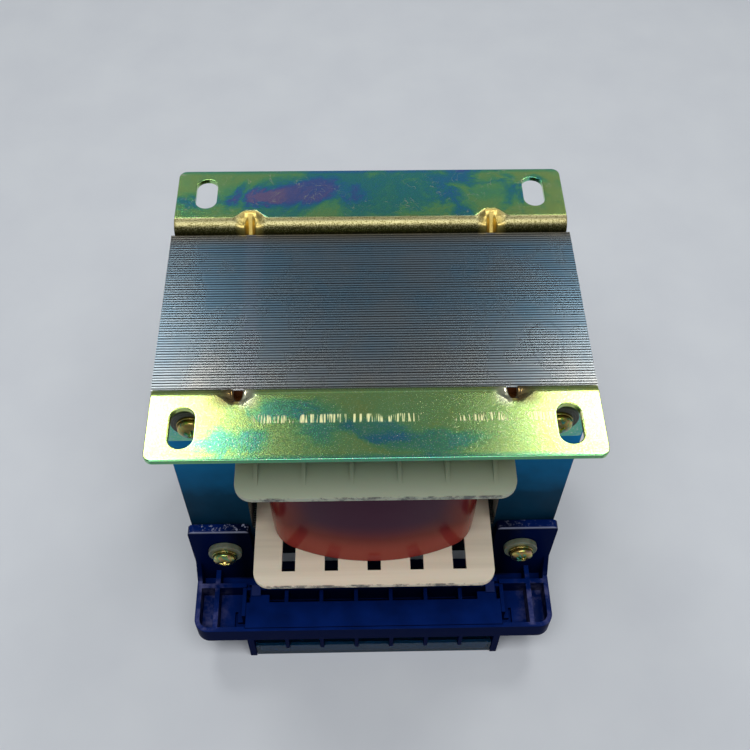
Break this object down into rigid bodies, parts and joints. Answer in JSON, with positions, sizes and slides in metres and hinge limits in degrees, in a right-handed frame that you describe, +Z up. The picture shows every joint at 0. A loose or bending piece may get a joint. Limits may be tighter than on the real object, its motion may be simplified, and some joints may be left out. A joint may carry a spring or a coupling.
{
  "type": "isolation transformer",
  "caption": "Bench-standing dry isolation transformer: clamped EI core, bobbin coil, two foot brackets and a screw terminal carrier on each face.",
  "frame": {"origin": "middle of the plane that the part stands on, under the core's centre", "axes": "+X along the core's width, -Y the front face with the bolt heads, +Z up towards the mounting feet; in use the part is turned over so that the feet are underneath"},
  "size_m": [0.1532, 0.1352, 0.1664],
  "materials": {
    "core_steel": "varnished electrical steel sheet edges",
    "bobbin_nylon": "moulded cream nylon",
    "winding_tape": "glossy brick-red polyester tape",
    "zinc_yellow": "iridescent yellow zinc chromate",
    "bolt_zinc": "yellow zinc plate",
    "washer_nylon": "moulded cream nylon",
    "washer_fibre": "dark vulcanised fibre",
    "carrier_blue": "moulded dark blue plastic",
    "terminal_zinc": "bright zinc plate",
    "cover_clear": "clear moulded plastic"
  },
  "bodies": {
    "root": {"core_laminations": "core_steel", "bobbin_tube": "bobbin_nylon", "bobbin_flange_top": "bobbin_nylon", "bobbin_flange_bottom": "bobbin_nylon", "winding": "winding_tape", "foot_bracket_front": "zinc_yellow", "foot_bracket_rear": "zinc_yellow", "bolt_top_left": "bolt_zinc", "bolt_top_right": "bolt_zinc", "bolt_bottom_left": "bolt_zinc", "bolt_bottom_right": "bolt_zinc", "nut_top_left": "bolt_zinc", "nut_top_right": "bolt_zinc", "nut_bottom_left": "bolt_zinc", "nut_bottom_right": "bolt_zinc", "plain_washers_front": "bolt_zinc", "plain_washers_rear": "bolt_zinc", "spring_washers_rear": "bolt_zinc", "insulating_washers_front": "washer_nylon", "insulating_washers_rear": "washer_nylon", "fibre_washers_front": "washer_fibre", "fibre_washers_rear": "washer_fibre", "terminal_carrier_front": "carrier_blue", "terminal_carrier_rear": "carrier_blue", "terminal_block_front": "carrier_blue", "terminal_block_rear": "carrier_blue", "terminal_bars_front": "terminal_zinc", "terminal_bars_rear": "terminal_zinc", "saddle_plates_front": "terminal_zinc", "saddle_plates_rear": "terminal_zinc", "terminal_screws_front": "terminal_zinc", "terminal_screws_rear": "terminal_zinc", "terminal_cover_front": "cover_clear", "terminal_cover_rear": "cover_clear"}
  },
  "joints": []
}
